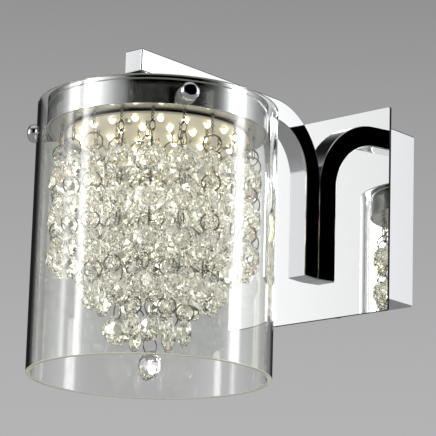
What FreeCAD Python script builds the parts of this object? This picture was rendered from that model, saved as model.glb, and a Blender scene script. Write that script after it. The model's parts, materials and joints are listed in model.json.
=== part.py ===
"""Crystal wall light: a square arm on a mirror-polished wall plate carries a round pan,
a clear glass cylinder and stepped strands of crystals.

Millimetres, +Z up, +Y into the wall, origin at the centre of the wall contact (wall plane y = 0).
Azimuths are in degrees about the lamp's vertical axis, from the front (-Y) towards +X.
"""
import FreeCAD, Part
import os
from math import asin, cos, pi, radians, sin, tan

V = FreeCAD.Vector
UP = V(0, 0, 1)
DOWN = V(0, 0, -1)
TO_WALL = V(0, 1, 0)

# ---- driving dimensions -------------------------------------------------------------------

# glass cylinder
glass_diameter = 120.0
glass_wall = 2.5
glass_height = 136.0
glass_edge_chamfer = 0.4

# pan: the shallow chrome cup above the crystals
pan_glass_gap = 2.5        # between the pan and the inside of the glass
pan_height = 14.5
pan_wall = 1.2
pan_edge_radius = 0.8
pan_above_glass = 1.0
pan_turn = -5.4            # how far the pan stands turned on its neck

# square arm
arm_side = 11.5
arm_wall = 1.2
arm_corner_radius = 0.7
arm_inner_corner_radius = 0.2
arm_bend_inside = 27.0
arm_cap = 1.2
arm_over_plate = 3.0       # top of the arm above the top of the mirror plate
arm_nose = 19.5            # arm beyond the lamp's axis
leg_below_centre = 33.0    # end of the leg below the centre of the plate

# lamp axis, mirror plate and wall box
axis_to_plate = 123.2
plate_width = 102.6
plate_height = 109.0
plate_thickness = 1.5
plate_corner_radius = 1.0
box_side_inset = 6.7       # mirror plate overhangs the box by this much at each side
box_end_inset = 8.0        # and by this much at its top and bottom
box_depth = 28.8
box_wall = 1.2

# wall bracket
bracket_width = 30.0
bracket_thickness = 2.0
bracket_ear = 14.0
wall_slot_from_ear = 15.2  # centre of a wall slot to the nearer ear's outside
wall_slot_width = 5.0
wall_slot_length = 12.0
cable_hole_radius = 8.0
box_screw_radius = 1.9
box_screw_length = 7.0
box_screw_head_radius = 3.4
box_screw_head_height = 2.0
box_screw_head_rounding = 1.0
box_screw_from_ear_end = 6.0

# bolts between box, plate and arm, and the hole for the lead above them
arm_bolt_radius = 2.4
arm_bolt_above_end = 9.0   # lower bolt above the end of the leg
arm_bolt_spacing = 20.0
arm_bolt_head_radius = 4.2
arm_bolt_head_height = 3.2
arm_nut_gap = 0.25         # round a nut, inside the arm
arm_nut_length = 5.0
lead_hole_radius = 2.6
lead_hole_below_bend = 7.0

# driver and terminal block in the box
driver_width = 24.0
driver_height = 62.0
driver_depth = 18.0
driver_side_gap = 2.8      # to the side wall of the box
driver_edge_radius = 1.0
terminal_width = 14.0
terminal_height = 24.0
terminal_depth = 12.0
terminal_side_gap = 10.8
terminal_poles = 3
terminal_screw_radius = 1.6
terminal_hole_depth = 5.0

# neck between arm and pan
neck_height = 13.5
neck_radius = 9.0
neck_edge_radius = 0.6
tube_radius = 3.9
tube_bore_radius = 2.6
tube_top_gap = 1.5         # from the top of the tube to the arm
neck_washer_radius = 8.0
neck_washer_thickness = 1.0
neck_nut_flats = 13.0
neck_nut_height = 3.0
tube_past_nut = 0.5

# hanger plate, its spacers and screws
hanger_thickness = 1.2
hanger_gap = 0.2
spacer_flats = 5.5
fixing_radius = 1.2
fixing_head_radius = 2.7
fixing_head_height = 1.8
fixing_end_gap = 2.1       # between the two screws in a spacer
fixing_outside_middle = 4.0   # circle of the fixings outside the middle strands' circle
fixing_places = (0, 7, 13)    # each stands between this chip of the outer ring and the next

# round board, its chips and its connector
board_edge_inset = 3.0     # board's edge inside the circle of the outer strands
board_thickness = 2.0
chip_length = 3.5
chip_width = 2.8
chip_height = 0.7
outer_chips_out = 8.0      # outer ring of chips outside the middle strands' circle
middle_chips_out = 7.0     # middle ring of chips outside the inner strands' circle
inner_chips_in = 7.0       # inner ring of chips inside the inner strands' circle
chip_counts = (20, 11, 5)
chip_azimuths = (13.8, 29.8, 20.4)    # first chip of each ring
connector_side = 6.0
connector_height = 5.0
connector_inset = 1.5      # its near face inside the inner strands' circle
connector_azimuth = 45.0
connector_gap = 0.2

# thumbscrews and the soft sleeves in the glass
thumbscrews = {"right": 61.0, "left": -59.0, "back": 181.0}
thumbscrew_radius = 1.9
thumbscrew_tip_inset = 0.4          # tip of the screw short of the boss's end
thumbscrew_head_radius = 4.6
thumbscrew_head_length = 6.0
thumbscrew_head_band = 0.8          # straight band between the head's two roundings
thumbscrew_foot_radius = 3.4
thumbscrew_foot_length = 0.9
thumbscrew_boss_radius = 2.7
thumbscrew_boss_length = 3.7
bush_sleeve_wall = 1.15
bush_flange_radius = 4.6
bush_flange_thickness = 0.8
seat_gap = 0.05

# crystals and their rings
bead_size = 14.0                    # across the flats
bead_thickness = 6.8
bead_girdle = 1.8
bead_table = 6.0                    # across the flats of the flat front
bead_hole_inset = 1.4               # centre of a hole from the crystal's end
bead_hole_radius = 0.7
ring_wire_radius = 0.4
ring_diameter = 8.8                 # centre line of the wire
eye_diameter = 2.6
link_gap = 0.1
hook_head_radius = 1.2
hook_head_height = 0.8
hook_hole_gap = 0.1

# strands
strand_glass_gap = 2.5              # a crystal turned edge-on to the glass, at rest
outer_to_middle_gap = 3.0           # between crystals of two circles that are turned edge-on to each other
middle_to_inner_gap = 0.5
strand_room = 1.0                   # least gap between neighbouring crystals that are face-on
strand_crystals = (3, 4, 5, 6)      # outer, middle and inner circle, centre
strand_azimuths = (9.0, 9.0, 15.0, 0.0)
strand_swings = (50.0, 75.0, 80.0, 0.0)
outer_ring_drop = 10.65             # top of the first ring below the pan's rim
middle_ring_drop = 9.15
inner_ring_drop = 7.65
centre_ring_drop = 5.05
golden_turn = 137.5                 # spreads the strands' yaw so that no two neighbours match
face_on_strand = 2                  # number of the strand that hangs square to its radius

# leads
lead_radius = 0.9
lead_loop_rise = 8.0                # loop above the driver
lead_over_hooks = 0.7
running_gap = 0.1                   # round a pin or screw in its hole

# ---- derived places -----------------------------------------------------------------------

box_width = plate_width - 2 * box_side_inset
box_height = plate_height - 2 * box_end_inset
box_inside_front = -box_depth + box_wall
ear_z = box_height / 2 - box_wall - running_gap      # outside of the bracket's ears
wall_screw_spacing = 2 * (ear_z - wall_slot_from_ear)
screw_y = -bracket_ear + box_screw_from_ear_end      # box screws, from the wall
driver_x = -(box_width / 2 - box_wall - driver_side_gap - driver_width / 2)
terminal_x = box_width / 2 - box_wall - terminal_side_gap - terminal_width / 2
plate_front = -(box_depth + plate_thickness)
axis_y = plate_front - axis_to_plate
arm_top = plate_height / 2 + arm_over_plate
arm_bottom = arm_top - arm_side
pan_top = arm_bottom - neck_height
pan_bottom = pan_top - pan_height
glass_top = pan_top - pan_above_glass
glass_bottom = glass_top - glass_height
pan_under_top = pan_top - pan_wall
hanger_top = pan_bottom + hanger_thickness
thumbscrew_z = hanger_top + running_gap + thumbscrew_boss_radius
spacer_length = pan_under_top - hanger_top
fixing_depth = (spacer_length - fixing_end_gap) / 2
board_bottom = pan_bottom - board_thickness
bend_outside = arm_bend_inside + arm_side
bend_centre = V(0, plate_front - bend_outside, arm_top - bend_outside)
glass_radius = glass_diameter / 2
lower_bolt_height = arm_bolt_above_end - leg_below_centre
arm_bolt_heights = (lower_bolt_height + arm_bolt_spacing, lower_bolt_height)
arm_nut_radius = arm_side / 2 - arm_wall - arm_nut_gap
lead_hole_height = bend_centre.z - lead_hole_below_bend
glass_inside = glass_radius - glass_wall
pan_radius = glass_inside - pan_glass_gap
pan_inside = pan_radius - pan_wall
thumbscrew_tip_radius = pan_inside - thumbscrew_boss_length + thumbscrew_tip_inset
bead_hole_spacing = bead_size - 2 * bead_hole_inset
ring_seat = bead_hole_radius - ring_wire_radius - seat_gap   # wire off the middle of the hole
hole_drop = ring_diameter - ring_seat              # ring top to the crystal's upper hole
outer_circle = glass_inside - strand_glass_gap - bead_size / 2
middle_circle = outer_circle - bead_size - outer_to_middle_gap
inner_circle = middle_circle - bead_size - middle_to_inner_gap
board_radius = outer_circle - board_edge_inset
chip_radii = (middle_circle + outer_chips_out, inner_circle + middle_chips_out,
              inner_circle - inner_chips_in)
fixing_circle_radius = middle_circle + fixing_outside_middle
fixing_azimuths = [chip_azimuths[0] + 360.0 * (i + 0.5) / chip_counts[0] for i in fixing_places]
connector_from_axis = inner_circle - connector_inset

strand_names = ("outer", "middle", "inner", "centre")
strand_circles = (outer_circle, middle_circle, inner_circle, 0.0)
ring_drops = (outer_ring_drop, middle_ring_drop, inner_ring_drop, centre_ring_drop)
strand_groups = list(zip(strand_names, strand_crystals, strand_circles, strand_azimuths,
                         strand_swings, ring_drops))


def polar(radius, azimuth, z):
    """Point at a radius and azimuth from the lamp's axis, turned with the pan."""
    a = radians(azimuth + pan_turn)
    return V(radius * sin(a), axis_y - radius * cos(a), z)


def outward(azimuth):
    """Unit vector away from the lamp's axis."""
    a = radians(azimuth + pan_turn)
    return V(sin(a), -cos(a), 0)


def box(x0, x1, y0, y1, z0, z1):
    return Part.makeBox(x1 - x0, y1 - y0, z1 - z0, V(x0, y0, z0))


def rod(radius, start, direction, length):
    return Part.makeCylinder(radius, length, start, direction)


def washer(outer, inner, start, direction, length):
    return rod(outer, start, direction, length).cut(rod(inner, start, direction, length))


def polygon_face(points):
    return Part.Face(Part.makePolygon(points + points[:1]))


def hexagon(flats, centre, height):
    """Upright hexagonal prism with its foot at centre."""
    corner = flats / 2 / cos(pi / 6)
    points = [centre + V(corner * cos(pi / 3 * i), corner * sin(pi / 3 * i), 0) for i in range(6)]
    return polygon_face(points).extrude(UP * height)


def rounded_square(side, radius, centre, across, along):
    """Face of a square with rounded corners, spanned by two unit vectors."""
    half = side / 2
    edges = []
    corners = [(1, 1), (-1, 1), (-1, -1), (1, -1)]
    starts, ends = [], []
    for i, (sx, sy) in enumerate(corners):
        tip = centre + across * (sx * half) + along * (sy * half)
        inner = centre + across * (sx * (half - radius)) + along * (sy * (half - radius))
        on_x = inner + across * (sx * radius)
        on_y = inner + along * (sy * radius)
        first, last = (on_x, on_y) if sx * sy > 0 else (on_y, on_x)
        middle = inner + (tip - inner).normalize() * radius
        edges.append(Part.Arc(first, middle, last).toShape())
        starts.append(first)
        ends.append(last)
    for i in range(4):
        edges.append(Part.makeLine(ends[i], starts[(i + 1) % 4]))
    return Part.Face(Part.Wire(Part.__sortEdges__(edges)))


def square_ring(centre, across, along):
    """Section of the arm's tube."""
    outer = rounded_square(arm_side, arm_corner_radius, centre, across, along)
    hollow = rounded_square(arm_side - 2 * arm_wall, arm_inner_corner_radius, centre, across, along)
    return outer.cut(hollow).Faces[0]


def slot(x, z, width, length, y0, y1):
    """Upright slot through a wall that lies across Y."""
    straight = length - width
    body = box(x - width / 2, x + width / 2, y0, y1, z - straight / 2, z + straight / 2)
    for end in (z - straight / 2, z + straight / 2):
        body = body.fuse(rod(width / 2, V(x, y0, end), TO_WALL, y1 - y0))
    return body


# ---- wall side ----------------------------------------------------------------------------

def wall_bracket():
    """Strap with two slots for the wall screws and an ear at each end for the box."""
    half = bracket_width / 2
    strap = box(-half, half, -bracket_thickness, 0, -ear_z, ear_z)
    for side in (-1, 1):
        z0, z1 = sorted((side * ear_z, side * (ear_z - bracket_thickness)))
        strap = strap.fuse(box(-half, half, -bracket_ear, 0, z0, z1))
        z = side * wall_screw_spacing / 2
        strap = strap.cut(slot(0, z, wall_slot_width, wall_slot_length, -bracket_thickness, 0))
    strap = strap.cut(rod(cable_hole_radius, V(0, -bracket_thickness, 0), TO_WALL, bracket_thickness))
    tapped = box_screw_radius + running_gap
    strap = strap.cut(rod(tapped, V(0, screw_y, -box_height), UP, 2 * box_height))
    return [strap.removeSplitter()]


def plate_holes(y0, y1):
    """Holes for the arm's bolts and for the lead, through whatever lies between y0 and y1."""
    cuts = [rod(lead_hole_radius, V(0, y0, lead_hole_height), TO_WALL, y1 - y0)]
    for z in arm_bolt_heights:
        cuts.append(rod(arm_bolt_radius + running_gap, V(0, y0, z), TO_WALL, y1 - y0))
    return cuts


def wall_box():
    """Folded steel box, open towards the wall."""
    w, h = box_width / 2, box_height / 2
    shell = box(-w, w, -box_depth, 0, -h, h)
    inner_w, inner_h = w - box_wall, h - box_wall
    shell = shell.cut(box(-inner_w, inner_w, box_inside_front, 0, -inner_h, inner_h))
    shell = shell.cut(plate_holes(-box_depth, box_inside_front))
    shell = shell.cut(rod(box_screw_radius + running_gap, V(0, screw_y, -box_height), UP, 2 * box_height))
    return [shell]


def box_screws():
    """One screw through the top and one through the bottom of the box, into the bracket."""
    screws = []
    for side in (-1, 1):
        seat = V(0, screw_y, side * box_height / 2)
        head = rod(box_screw_head_radius, seat, UP * side, box_screw_head_height)
        crown = seat.z + side * box_screw_head_height
        rim = [e for e in head.Edges if abs(e.BoundBox.Center.z - crown) < 0.01]
        head = head.makeFillet(box_screw_head_rounding, rim)
        screws.append(head.fuse(rod(box_screw_radius, seat, UP * -side, box_screw_length)))
    return screws


def mirror_plate():
    """Polished plate between the box and the arm."""
    w, h = plate_width / 2, plate_height / 2
    plate = box(-w, w, plate_front, plate_front + plate_thickness, -h, h)
    upright = [e for e in plate.Edges if abs(e.tangentAt(e.FirstParameter).y) > 0.9]
    plate = plate.makeFillet(plate_corner_radius, upright)
    return [plate.cut(plate_holes(plate_front, plate_front + plate_thickness))]


def led_driver():
    """Closed driver, seated on the inside of the box's front."""
    x0 = driver_x - driver_width / 2
    case = box(x0, x0 + driver_width, box_inside_front, box_inside_front + driver_depth,
               -driver_height / 2, driver_height / 2)
    free_edges = [e for e in case.Edges if e.BoundBox.YMin > box_inside_front + driver_depth / 2]
    return [case.makeFillet(driver_edge_radius, free_edges)]


def terminal_block():
    """Screw terminals for the house wiring."""
    x0 = terminal_x - terminal_width / 2
    y1 = box_inside_front + terminal_depth
    block = box(x0, x0 + terminal_width, box_inside_front, y1, -terminal_height / 2, terminal_height / 2)
    pitch = terminal_height / terminal_poles
    for i in range(terminal_poles):
        z = -terminal_height / 2 + pitch * (i + 0.5)
        block = block.cut(rod(terminal_screw_radius, V(terminal_x, y1 - terminal_hole_depth, z),
                              TO_WALL, terminal_hole_depth))
        block = block.cut(rod(terminal_screw_radius, V(x0 + terminal_width, y1 - terminal_depth / 2, z),
                              V(-1, 0, 0), terminal_hole_depth))
    return [block]


# ---- arm and neck -------------------------------------------------------------------------

def arm():
    """Bent square tube with a cap at each end and two nuts welded behind the plate."""
    x, y, z = V(1, 0, 0), V(0, 1, 0), V(0, 0, 1)
    nose = axis_y - arm_nose
    middle_z = arm_top - arm_side / 2
    middle_y = plate_front - arm_side / 2
    leg_end = -leg_below_centre
    run_start = nose + arm_cap
    leg_start = leg_end + arm_cap
    run = square_ring(V(0, run_start, middle_z), x, z).extrude(y * (bend_centre.y - run_start))
    bend = square_ring(V(0, bend_centre.y, middle_z), x, z).revolve(bend_centre, x, -90)
    leg = square_ring(V(0, middle_y, leg_start), x, y).extrude(z * (bend_centre.z - leg_start))
    tube = run.fuse([bend, leg]).removeSplitter()
    tube = tube.cut(rod(lead_hole_radius, V(0, axis_y, arm_bottom), UP, arm_wall))
    tube = tube.cut(plate_holes(plate_front - arm_wall, plate_front))
    front_cap = rounded_square(arm_side, arm_corner_radius, V(0, nose, middle_z), x, z)
    foot_cap = rounded_square(arm_side, arm_corner_radius, V(0, middle_y, leg_end), x, y)
    caps = [front_cap.extrude(y * arm_cap), foot_cap.extrude(z * arm_cap)]
    nuts = []
    for height in arm_bolt_heights:
        seat = V(0, plate_front - arm_wall, height)
        nuts.append(washer(arm_nut_radius, arm_bolt_radius + running_gap, seat, V(0, -1, 0), arm_nut_length))
    return [tube] + caps + nuts


def arm_bolts():
    """Bolts from inside the box, through box and plate, into the arm's nuts."""
    bolts = []
    grip = box_wall + plate_thickness + arm_wall + arm_nut_length
    for height in arm_bolt_heights:
        seat = V(0, box_inside_front, height)
        bolt = rod(arm_bolt_head_radius, seat, TO_WALL, arm_bolt_head_height)
        bolts.append(bolt.fuse(rod(arm_bolt_radius, seat, V(0, -1, 0), grip)))
    return bolts


def neck():
    """Round collar under the arm, the threaded tube in it, and the nut and washer in the pan."""
    axis = V(0, axis_y, 0)
    collar = rod(neck_radius, axis + UP * pan_top, UP, neck_height)
    collar = collar.makeFillet(neck_edge_radius, [collar.Edges[0], collar.Edges[2]])
    collar = collar.cut(rod(tube_radius + running_gap, axis + UP * pan_top, UP, neck_height))
    nut_foot = pan_under_top - neck_washer_thickness - neck_nut_height
    tube_foot = nut_foot - tube_past_nut
    tube_length = arm_bottom - tube_top_gap - tube_foot
    tube = washer(tube_radius, tube_bore_radius, axis + UP * tube_foot, UP, tube_length)
    bore = tube_radius + running_gap
    ring = washer(neck_washer_radius, bore, axis + UP * pan_under_top, DOWN, neck_washer_thickness)
    nut = hexagon(neck_nut_flats, axis + UP * nut_foot, neck_nut_height)
    nut = nut.cut(rod(bore, axis + UP * nut_foot, UP, neck_nut_height))
    return [collar, tube, ring, nut]


# ---- pan, hanger plate and board ----------------------------------------------------------

def pan():
    """Cup with a hole for the neck, three threaded bosses and three screw holes in its top."""
    cup = rod(pan_radius, V(0, axis_y, pan_bottom), UP, pan_height)
    rim = [e for e in cup.Edges if e.BoundBox.ZMin > pan_top - 0.01]
    cup = cup.makeFillet(pan_edge_radius, rim)
    cup = cup.cut(rod(pan_inside, V(0, axis_y, pan_bottom), UP, pan_height - pan_wall))
    cup = cup.cut(rod(tube_radius + running_gap, V(0, axis_y, pan_bottom), UP, pan_height))
    for azimuth in fixing_azimuths:
        foot = polar(fixing_circle_radius, azimuth, pan_bottom)
        cup = cup.cut(rod(fixing_radius + running_gap, foot, UP, pan_height))
    for azimuth in thumbscrews.values():
        start = polar(pan_inside - thumbscrew_boss_length, azimuth, thumbscrew_z)
        boss = rod(thumbscrew_boss_radius, start, outward(azimuth), thumbscrew_boss_length + pan_wall / 2)
        cup = cup.fuse(boss)
        drill = polar(pan_inside - 2 * thumbscrew_boss_length, azimuth, thumbscrew_z)
        reach = 2 * thumbscrew_boss_length + 2 * pan_wall
        cup = cup.cut(rod(thumbscrew_radius + running_gap, drill, outward(azimuth), reach))
    return [cup.removeSplitter()]


def strand_count(radius):
    """Strands that fit on a circle: one at the centre, none where they would meet that one."""
    if radius == 0:
        return 1
    return int(2 * pi * radius / (bead_size + strand_room)) if radius > bead_size else 0


def hook_places():
    """Every strand's place: name, crystals, axis point at the first ring's top, and yaw."""
    places = []
    for name, crystals, radius, first, swing, ring_drop in strand_groups:
        count = strand_count(radius)
        digits = len(str(count))
        for i in range(count):
            azimuth = first + 360.0 * i / count
            turned = golden_turn * (i - face_on_strand)
            yaw = azimuth + pan_turn - swing * sin(radians(turned))
            label = f"strand_{name}" if count == 1 else f"strand_{name}_{i + 1:0{digits}d}"
            places.append((label, crystals, polar(radius, azimuth, pan_bottom - ring_drop), yaw, radius))
    return places


def connector_block(gap, height):
    """Upright block at the connector's place, larger than the connector by a gap all round."""
    half = connector_side / 2 + gap
    block = box(connector_from_axis - gap, connector_from_axis + connector_side + gap, -half, half,
                pan_bottom, pan_bottom + height)
    block.rotate(V(0, 0, 0), UP, connector_azimuth + pan_turn - 90)
    block.translate(V(0, axis_y, 0))
    return block


def hanger_plate():
    """Steel disc that closes the pan; every strand's hook hangs in a hole of it."""
    disc = rod(pan_inside - hanger_gap, V(0, axis_y, pan_bottom), UP, hanger_thickness)
    cuts = [rod(ring_wire_radius + hook_hole_gap, V(p.x, p.y, pan_bottom), UP, hanger_thickness)
            for _, _, p, _, _ in hook_places()]
    for azimuth in fixing_azimuths:
        foot = polar(fixing_circle_radius, azimuth, pan_bottom)
        cuts.append(rod(fixing_radius + running_gap, foot, UP, hanger_thickness))
    cuts.append(connector_block(connector_gap, hanger_thickness))
    return [disc.cut(cuts)]


def led_board():
    """Round board under the hanger plate, with the connector that stands up through it."""
    disc = rod(board_radius, V(0, axis_y, board_bottom), UP, board_thickness)
    cuts = [rod(ring_wire_radius + 2 * hook_hole_gap, V(p.x, p.y, board_bottom), UP, board_thickness)
            for _, _, p, _, radius in hook_places() if radius < board_radius]
    for azimuth in fixing_azimuths:
        foot = polar(fixing_circle_radius, azimuth, board_bottom)
        cuts.append(rod(fixing_radius + running_gap, foot, UP, board_thickness))
    return [disc.cut(cuts), connector_block(0, connector_height)]


def led_chips():
    """Flat chips in three rings under the board."""
    chips = []
    for radius, count, first in zip(chip_radii, chip_counts, chip_azimuths):
        for i in range(count):
            azimuth = first + 360.0 * i / count
            chip = box(radius - chip_width / 2, radius + chip_width / 2, -chip_length / 2, chip_length / 2,
                       board_bottom - chip_height, board_bottom)
            chip.rotate(V(0, 0, 0), UP, azimuth + pan_turn - 90)
            chip.translate(V(0, axis_y, 0))
            chips.append(chip)
    return chips


def plate_fixings():
    """Three spacers between pan and hanger plate, each with a screw from above and one from below."""
    solids = []
    for azimuth in fixing_azimuths:
        foot = polar(fixing_circle_radius, azimuth, hanger_top)
        spacer = hexagon(spacer_flats, foot, spacer_length)
        solids.append(spacer.cut(rod(fixing_radius + running_gap, foot, UP, spacer_length)))
        for seat_z, away in ((pan_top, 1), (board_bottom, -1)):
            seat = polar(fixing_circle_radius, azimuth, seat_z)
            through = pan_wall if away > 0 else hanger_top - board_bottom
            screw = rod(fixing_head_radius, seat, UP * away, fixing_head_height)
            solids.append(screw.fuse(rod(fixing_radius, seat, UP * -away, through + fixing_depth)))
    return solids


# ---- glass, sleeves and thumbscrews -------------------------------------------------------

def glass_cylinder():
    """Clear tube with three holes near its top."""
    foot = V(0, axis_y, glass_bottom)
    tube = washer(glass_radius, glass_inside, foot, UP, glass_height)
    rims = [e for e in tube.Edges if e.BoundBox.ZLength < 0.01]
    tube = tube.makeChamfer(glass_edge_chamfer, rims)
    hole = thumbscrew_radius + running_gap + bush_sleeve_wall + seat_gap
    for azimuth in thumbscrews.values():
        start = polar(glass_inside - glass_wall, azimuth, thumbscrew_z)
        tube = tube.cut(rod(hole, start, outward(azimuth), 3 * glass_wall))
    return [tube]


def flange_inner_reach():
    """How far out a flat flange may lie against the inside of the glass."""
    return glass_inside * cos(asin(bush_flange_radius / glass_inside)) - seat_gap


def glass_bushes():
    """Soft sleeves: one flange between pan and glass, one between glass and screw."""
    bushes = []
    bore = thumbscrew_radius + running_gap
    for azimuth in thumbscrews.values():
        way = outward(azimuth)
        inner = pan_radius + seat_gap
        reach = flange_inner_reach()
        outer = glass_radius + seat_gap
        bush = rod(bush_flange_radius, polar(inner, azimuth, thumbscrew_z), way, reach - inner)
        sleeve = rod(bore + bush_sleeve_wall, polar(inner, azimuth, thumbscrew_z), way, outer - inner)
        flange = rod(bush_flange_radius, polar(outer, azimuth, thumbscrew_z), way, bush_flange_thickness)
        bush = bush.fuse([sleeve, flange])
        length = outer + bush_flange_thickness - inner
        bushes.append(bush.cut(rod(bore, polar(inner, azimuth, thumbscrew_z), way, length)))
    return bushes


def thumbscrew(azimuth):
    """Round-headed screw that holds the glass to the pan."""
    way = outward(azimuth)
    seat = glass_radius + seat_gap + bush_flange_thickness + running_gap
    head_start = seat + thumbscrew_foot_length
    shank = rod(thumbscrew_radius, polar(thumbscrew_tip_radius, azimuth, thumbscrew_z), way,
                head_start - thumbscrew_tip_radius)
    foot = rod(thumbscrew_foot_radius, polar(seat, azimuth, thumbscrew_z), way, thumbscrew_foot_length)
    head = rod(thumbscrew_head_radius, polar(head_start, azimuth, thumbscrew_z), way, thumbscrew_head_length)
    rims = [e for e in head.Edges if e.Closed and len(e.Vertexes) == 1]
    head = head.makeFillet((thumbscrew_head_length - thumbscrew_head_band) / 2, rims)
    return [head.fuse([foot, shank])]


# ---- crystals -----------------------------------------------------------------------------

def octagon(flats, y):
    """Corners of an upright octagon with a flat at the top, in the plane at y."""
    corner = flats / 2 / cos(pi / 8)
    return [V(corner * cos(pi / 8 + i * pi / 4), y, corner * sin(pi / 8 + i * pi / 4)) for i in range(8)]


def crystal():
    """Eight-sided crystal with a hole at top and bottom, centred on the origin, facing -Y."""
    layers = [octagon(bead_table, -bead_thickness / 2), octagon(bead_size, -bead_girdle / 2),
              octagon(bead_size, bead_girdle / 2), octagon(bead_table, bead_thickness / 2)]
    faces = [polygon_face(layers[0]), polygon_face(layers[-1])]
    for lower, upper in zip(layers, layers[1:]):
        for i in range(8):
            j = (i + 1) % 8
            faces.append(polygon_face([lower[i], lower[j], upper[j], upper[i]]))
    body = Part.Solid(Part.Shell(faces))
    if body.Volume < 0:
        body.reverse()
    for side in (-1, 1):
        start = V(0, -bead_thickness, side * bead_hole_spacing / 2)
        body = body.cut(rod(bead_hole_radius, start, TO_WALL, 2 * bead_thickness))
    return body.Solids[0]


def placed(shape, yaw, point):
    """Copy of a shape turned about +Z and moved to a point."""
    matrix = FreeCAD.Placement(point, FreeCAD.Rotation(UP, yaw)).toMatrix()
    return shape.transformed(matrix, True)


def strand(crystals, top, yaw, bead, ring):
    """Rings and crystals hanging from the top of the first ring's wire."""
    solids = []
    z = top.z
    for _ in range(crystals):
        solids.append(placed(ring, yaw, V(top.x, top.y, z - ring_diameter / 2)))
        bead_z = z - hole_drop - bead_hole_spacing / 2
        solids.append(placed(bead, yaw, V(top.x, top.y, bead_z)))
        z = bead_z - bead_hole_spacing / 2 + ring_seat
    return solids


def strand_hooks():
    """A headed wire through the hanger plate for each strand, with an eye at its foot."""
    hooks = []
    for _, _, top, yaw, _ in hook_places():
        eye_radius = eye_diameter / 2
        eye_z = top.z + eye_radius - 2 * ring_wire_radius - link_gap
        facing = V(-sin(radians(yaw)), cos(radians(yaw)), 0)
        eye = Part.makeTorus(eye_radius, ring_wire_radius, V(top.x, top.y, eye_z), facing)
        wire_foot = V(top.x, top.y, eye_z + eye_radius)
        wire = rod(ring_wire_radius, wire_foot, UP, hanger_top + hook_head_height - wire_foot.z)
        head = rod(hook_head_radius, V(top.x, top.y, hanger_top), UP, hook_head_height)
        hooks.append(eye.fuse([wire, head]))
    return hooks


# ---- leads --------------------------------------------------------------------------------

def bent_lead(points, bends):
    """Round lead along straight runs joined by tangent arcs; bends gives each corner's radius."""
    edges = []
    start = points[0]
    length = 0.0
    for before, corner, after, radius in zip(points, points[1:], points[2:], bends):
        come = (corner - before).normalize()
        leave = (after - corner).normalize()
        turn = come.getAngle(leave)
        reach = radius * tan(turn / 2)
        first = corner - come * reach
        last = corner + leave * reach
        inward = (leave - come).normalize()
        middle = corner + inward * (radius / cos(turn / 2) - radius)
        edges.append(Part.LineSegment(start, first).toShape())
        edges.append(Part.Arc(first, middle, last).toShape())
        length += (first - start).Length + radius * turn
        start = last
    edges.append(Part.LineSegment(start, points[-1]).toShape())
    length += (points[-1] - start).Length
    path = Part.Wire(edges)
    section = Part.Wire(Part.makeCircle(lead_radius, points[0], points[1] - points[0]))
    solid = path.makePipeShell([section], True, False)
    wanted = pi * lead_radius ** 2 * length
    print(f"lead radii {bends}, volume {solid.Volume:.1f} of {wanted:.1f}")
    return solid


def leads():
    """Lead from the driver through the arm to the board, and the lead that feeds the driver."""
    run_z = arm_top - arm_side / 2
    leg_y = plate_front - arm_side / 2
    middle_y = box_inside_front + driver_depth / 2
    loop_z = driver_height / 2 + lead_loop_rise
    aside = outward(connector_azimuth) * connector_from_axis
    along_z = hanger_top + hook_head_height + lead_radius + lead_over_hooks
    lamp = [V(driver_x, middle_y, driver_height / 2), V(driver_x, middle_y, loop_z),
            V(driver_x / 2, middle_y, loop_z + 2.0), V(0, middle_y, loop_z - 8.0),
            V(0, middle_y, lead_hole_height), V(0, leg_y, lead_hole_height), V(0, leg_y, run_z),
            V(0, axis_y, run_z), V(0, axis_y, along_z), V(aside.x, axis_y + aside.y, along_z)]
    lamp_bends = [6.0, 20.0, 12.0, 6.0, 5.6, arm_bend_inside + arm_side / 2, 6.0, 5.4]
    foot_z = -driver_height / 2
    front_y = box_inside_front + terminal_depth / 2
    feed = [V(terminal_x, front_y, -terminal_height / 2), V(terminal_x, front_y, foot_z + 4.0),
            V(terminal_x / 2, front_y, foot_z - 7.0), V(driver_x / 2, middle_y, foot_z - 9.0),
            V(driver_x, middle_y, foot_z - 8.0), V(driver_x, middle_y, foot_z)]
    feed_bends = [9.0, 20.0, 40.0, 6.0]
    return [bent_lead(lamp, lamp_bends), bent_lead(feed, feed_bends)]


# ---- write every node ---------------------------------------------------------------------

def write_node(name, solids):
    shape = solids[0] if len(solids) == 1 else Part.makeCompound(solids)
    shape.exportStep(f"parts/{name}.step")


def main():
    os.makedirs("parts", exist_ok=True)
    pieces = {
        "wall_bracket": wall_bracket(), "wall_box": wall_box(), "box_screws": box_screws(),
        "mirror_plate": mirror_plate(), "led_driver": led_driver(), "terminal_block": terminal_block(),
        "arm": arm(), "arm_bolts": arm_bolts(), "neck": neck(), "pan": pan(),
        "plate_fixings": plate_fixings(), "hanger_plate": hanger_plate(), "led_board": led_board(),
        "led_chips": led_chips(), "strand_hooks": strand_hooks(), "glass_cylinder": glass_cylinder(),
        "glass_bushes": glass_bushes(), "leads": leads(),
    }
    for side, azimuth in thumbscrews.items():
        pieces[f"thumbscrew_{side}"] = thumbscrew(azimuth)
    bead = crystal()
    ring = Part.makeTorus(ring_diameter / 2, ring_wire_radius, V(0, 0, 0), V(1, 0, 0))
    for label, crystals, top, yaw, _ in hook_places():
        pieces[label] = strand(crystals, top, yaw, bead, ring)
    for name, solids in pieces.items():
        write_node(name, solids)
    print(len(pieces), "nodes,", sum(len(s) for s in pieces.values()), "solids")


main()
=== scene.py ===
# %% [markdown]
# # A crystal wall light
#
# The lamp is a square chrome arm on a mirror-polished plate. A shallow chrome pan hangs under the
# arm, a clear glass cylinder hangs round the pan, and stepped strands of eight-sided crystals hang
# inside the glass, lit from above by small LEDs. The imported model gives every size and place.
# This lesson gives each part its surface, and remodels those that a polished finish would betray:
# on chrome and glass, the flat facets of a coarse mesh show in every reflection.

# %% Load the frame
import json
from math import atan, cos, pi, radians, sin

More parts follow.
